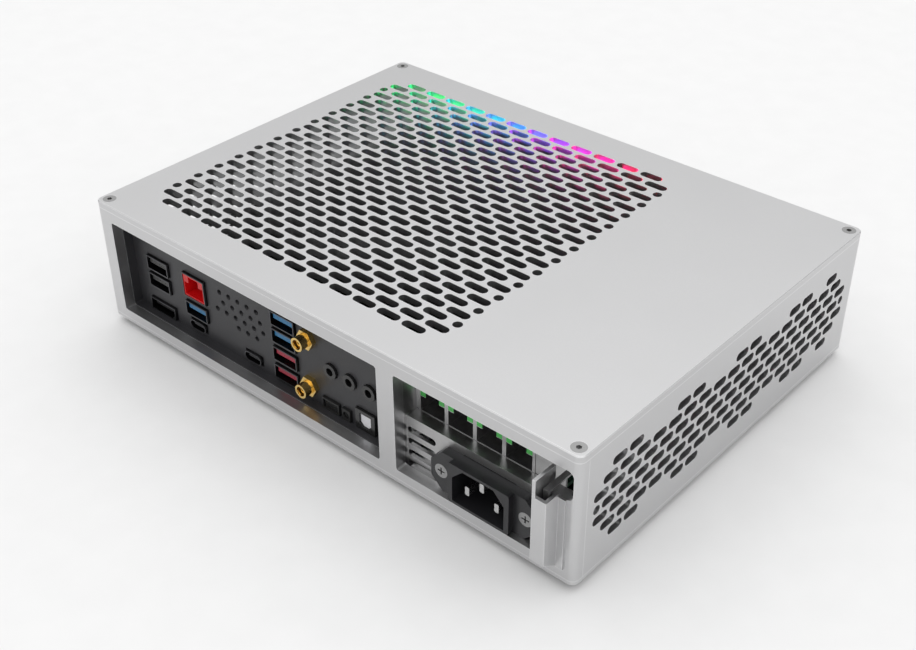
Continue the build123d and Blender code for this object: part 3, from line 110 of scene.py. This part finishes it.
class Maker:
    """A node material under construction, around one Principled shader."""

    def __init__(self, name):
        self.material = bpy.data.materials.new(name)
        self.material.use_nodes = True
        self.tree = self.material.node_tree
        self.shader = self.tree.nodes["Principled BSDF"]
        self.place = self.node("ShaderNodeTexCoord").outputs["Object"]

    def node(self, kind, **values):
        made = self.tree.nodes.new(kind)
        for key, value in values.items():
            setattr(made, key, value)
        return made

    def link(self, source, target):
        self.tree.links.new(source, target)

    def stretched(self, scale):
        mapping = self.node("ShaderNodeMapping")
        mapping.inputs["Scale"].default_value = scale
        self.link(self.place, mapping.inputs["Vector"])
        return mapping.outputs[0]

    def noise(self, scale, detail=3.0, stretch=None):
        made = self.node("ShaderNodeTexNoise")
        made.inputs["Scale"].default_value = scale
        made.inputs["Detail"].default_value = detail
        self.link(self.stretched(stretch) if stretch else self.place, made.inputs["Vector"])
        return made.outputs[0]

    def ranged(self, source, low, high):
        made = self.node("ShaderNodeMapRange")
        made.inputs["From Min"].default_value = 0.3
        made.inputs["From Max"].default_value = 0.7
        made.inputs["To Min"].default_value = low
        made.inputs["To Max"].default_value = high
        self.link(source, made.inputs["Value"])
        return made.outputs[0]

    def mix(self, factor, first, second):
        made = self.node("ShaderNodeMix", data_type="RGBA")
        if isinstance(factor, float):
            made.inputs["Factor"].default_value = factor
        else:
            self.link(factor, made.inputs["Factor"])
        for socket, value in ((made.inputs[6], first), (made.inputs[7], second)):
            if isinstance(value, tuple):
                socket.default_value = (*value, 1)
            else:
                self.link(value, socket)
        return made.outputs[2]

    def bump(self, height, strength, distance):
        made = self.node("ShaderNodeBump")
        made.inputs["Strength"].default_value = strength
        made.inputs["Distance"].default_value = distance
        self.link(height, made.inputs["Height"])
        self.link(made.outputs[0], self.shader.inputs["Normal"])
        return made

    def edge_mask(self, radius):
        """1 on edges that are nearer than radius, 0 on flat faces."""
        bevel = self.node("ShaderNodeBevel", samples=4)
        bevel.inputs["Radius"].default_value = radius
        flat = self.node("ShaderNodeNewGeometry").outputs["Normal"]
        dot = self.node("ShaderNodeVectorMath", operation="DOT_PRODUCT")
        self.link(bevel.outputs[0], dot.inputs[0])
        self.link(flat, dot.inputs[1])
        made = self.node("ShaderNodeMapRange")
        made.inputs["From Min"].default_value = 0.995
        made.inputs["From Max"].default_value = 0.90
        self.link(dot.outputs["Value"], made.inputs["Value"])
        return made.outputs[0]


def tinted(colour, factor):
    return tuple(min(1.0, channel * factor) for channel in colour)


def metal(name, colour, rough, grain=2600.0, stretch=None, vary=0.05, edge=None, lump=0.00001):
    """Blasted or brushed metal: fine grain in colour, gloss and bump, and edges painted brighter, partly
    as wear and partly as a painted highlight.
    """
    m = Maker(name)
    fine = m.noise(grain, 2.0, stretch)
    broad = m.noise(28.0, 3.0)
    tone = m.mix(m.ranged(fine, 0.0, 1.0), tinted(colour, 1 - vary), tinted(colour, 1 + vary))
    tone = m.mix(m.ranged(broad, 0.0, 0.5), tone, tinted(colour, 1 - vary * 1.5))
    if edge:
        # Edges painted brighter: partly wear, partly a painted highlight along edges and rounded corners
        tone = m.mix(m.edge_mask(edge), tone, tinted(colour, 1.35))
    m.link(tone, m.shader.inputs["Base Color"])
    m.shader.inputs["Metallic"].default_value = 1.0
    m.link(m.ranged(fine, rough - 0.04, rough + 0.05), m.shader.inputs["Roughness"])
    m.bump(fine, 0.25, lump)
    return m.material


def moulded(name, colour, rough, grain=1500.0, vary=0.12, coat=0.0, edge=None, strength=0.3):
    """Moulded plastic or solder mask: leathered grain, slight mottling, and edges painted paler, partly as
    rubbing wear and partly as a painted highlight.
    """
    m = Maker(name)
    fine = m.noise(grain, 4.0)
    broad = m.noise(60.0, 2.0)
    tone = m.mix(m.ranged(broad, 0.0, 1.0), tinted(colour, 1 - vary), tinted(colour, 1 + vary))
    if edge:
        # Edges painted paler: partly rubbing wear, partly a painted highlight along edges
        tone = m.mix(m.edge_mask(edge), tone, tinted(colour, 1.8))
    m.link(tone, m.shader.inputs["Base Color"])
    m.link(m.ranged(fine, rough - 0.06, rough + 0.08), m.shader.inputs["Roughness"])
    m.shader.inputs["Coat Weight"].default_value = coat
    m.bump(fine, strength, 0.00002)
    return m.material


def light_bar():
    """Milky bar lit from inside, its colour running through the rainbow along the bar."""
    m = Maker("light_bar")
    low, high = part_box("memory_lights")
    split = m.node("ShaderNodeSeparateXYZ")
    m.link(m.place, split.inputs[0])
    along = m.node("ShaderNodeMapRange")
    along.inputs["From Min"].default_value = low.x
    along.inputs["From Max"].default_value = high.x
    m.link(split.outputs["X"], along.inputs["Value"])
    ramp = m.node("ShaderNodeValToRGB")
    elements = ramp.color_ramp.elements
    for at, colour in LIGHT_STOPS[1:-1]:
        elements.new(at)
    for element, (at, colour) in zip(elements, LIGHT_STOPS):
        element.position = at
        element.color = (*colour, 1)
    m.link(along.outputs[0], ramp.inputs[0])
    m.link(m.mix(m.ranged(m.noise(500.0), 0.0, 0.2), ramp.outputs[0], (0.8, 0.8, 0.85)),
           m.shader.inputs["Base Color"])
    m.link(ramp.outputs[0], m.shader.inputs["Emission Color"])
    m.shader.inputs["Emission Strength"].default_value = LIGHT_STRENGTH
    m.shader.inputs["Roughness"].default_value = 0.3
    return m.material


def board(name, base, trace, pitch):
    """Circuit board: solder mask over faint traces, with plated dots."""
    m = Maker(name)
    brick = m.node("ShaderNodeTexBrick")
    brick.inputs["Scale"].default_value = pitch
    brick.inputs["Mortar Size"].default_value = 0.03
    brick.inputs["Color1"].default_value = (*base, 1)
    brick.inputs["Color2"].default_value = (*tinted(base, 1.25), 1)
    brick.inputs["Mortar"].default_value = (*trace, 1)
    m.link(m.place, brick.inputs["Vector"])
    dots = m.node("ShaderNodeTexVoronoi")
    dots.inputs["Scale"].default_value = 260.0
    m.link(m.place, dots.inputs["Vector"])
    spot = m.node("ShaderNodeMapRange")
    spot.inputs["From Min"].default_value = 0.14
    spot.inputs["From Max"].default_value = 0.10
    m.link(dots.outputs["Distance"], spot.inputs["Value"])
    m.link(m.mix(spot.outputs[0], brick.outputs["Color"], (0.5, 0.4, 0.18)), m.shader.inputs["Base Color"])
    m.shader.inputs["Roughness"].default_value = 0.35
    m.bump(brick.outputs["Fac"], 0.2, 0.00003)
    return m.material


def paint(node, material):
    mesh = frame["nodes"][node].data
    mesh.materials.clear()
    mesh.materials.append(material)


MATERIALS = {
    "satin_aluminium": metal("satin_aluminium", (0.60, 0.60, 0.605), 0.34, edge=0.0005, vary=0.025),
    "bracket_steel": metal("bracket_steel", (0.50, 0.50, 0.50), 0.33, 900.0, (1, 1, 9), edge=0.0004),
    "rubber_black": moulded("rubber_black", (0.012, 0.012, 0.012), 0.7),
    "screw_steel": metal("screw_steel", (0.36, 0.36, 0.36), 0.32, 3500.0, vary=0.1, edge=0.0002),
    "screw_black": metal("screw_black", (0.03, 0.03, 0.03), 0.4, 3500.0),
    "shield_black": moulded("shield_black", (0.030, 0.030, 0.033), 0.42, 2600.0, vary=0.08),
    "button_aluminium": metal("button_aluminium", (0.60, 0.60, 0.61), 0.3, 1500.0, (1, 1, 1), edge=0.0003),
    "black_plastic": moulded("black_plastic", (0.012, 0.012, 0.012), 0.45),
    "gloss_black": moulded("gloss_black", (0.008, 0.008, 0.008), 0.22, coat=0.3, edge=0.0002),
    "milky_plastic": moulded("milky_plastic", (0.7, 0.72, 0.76), 0.35, vary=0.04),
    "board_black": board("board_black", (0.010, 0.012, 0.012), (0.03, 0.035, 0.035), 160.0),
    "board_green": board("board_green", (0.006, 0.045, 0.02), (0.02, 0.10, 0.05), 160.0),
    "brass_plain": metal("brass_plain", (0.62, 0.46, 0.18), 0.3),
    "sink_black": metal("sink_black", (0.03, 0.03, 0.032), 0.38, 2200.0),
    "fan_plastic": moulded("fan_plastic", (0.012, 0.012, 0.012), 0.4),
    "grey_plastic": moulded("grey_plastic", (0.10, 0.10, 0.105), 0.45),
    "spreader_black": metal("spreader_black", (0.02, 0.02, 0.022), 0.35, 1200.0, (1, 1, 6)),
    "light_bar": light_bar(),
    "socket_steel": metal("socket_steel", (0.10, 0.10, 0.105), 0.3, 2500.0, edge=0.00025),
    "tongue_black": moulded("tongue_black", (0.010, 0.010, 0.010), 0.3),
    "tongue_blue": moulded("tongue_blue", (0.012, 0.14, 0.30), 0.3, edge=0.0003),
    "tongue_red": moulded("tongue_red", (0.30, 0.008, 0.03), 0.3, edge=0.0003),
    "liner_red": moulded("liner_red", (0.62, 0.006, 0.008), 0.3),
    "gold_plate": metal("gold_plate", (0.80, 0.56, 0.20), 0.2, 3000.0, edge=0.0002, vary=0.08),
    "shutter_white": moulded("shutter_white", (0.75, 0.75, 0.78), 0.3, vary=0.03),
    "jack_light": moulded("jack_light", (0.06, 0.45, 0.08), 0.3),
    "supply_grey": metal("supply_grey", (0.07, 0.07, 0.075), 0.4),
    "inlet_black": moulded("inlet_black", (0.014, 0.014, 0.016), 0.34, 2200.0, edge=0.0004),
    "pin_silver": metal("pin_silver", (0.62, 0.62, 0.62), 0.25, 3000.0),
}

FLOOR = moulded("floor_pale", (0.80, 0.80, 0.80), 0.7, 40.0, vary=0.01, strength=0.02)

make_camera()
make_world()
bpy.context.scene.view_settings.view_transform = "Standard"
for part in frame["record"]["subparts"]:
    paint(part["node"], MATERIALS[part["material_slot"]])

mesh = bpy.data.meshes.new("floor")
corners = [(-1, -1), (1, -1), (1, 1), (-1, 1)]
mesh.from_pydata([(x * FLOOR_HALF, y * FLOOR_HALF, 0) for x, y in corners], [], [(0, 1, 2, 3)])
mesh.materials.append(FLOOR)
floor = bpy.data.objects.new("floor", mesh)
bpy.context.scene.collection.objects.link(floor)
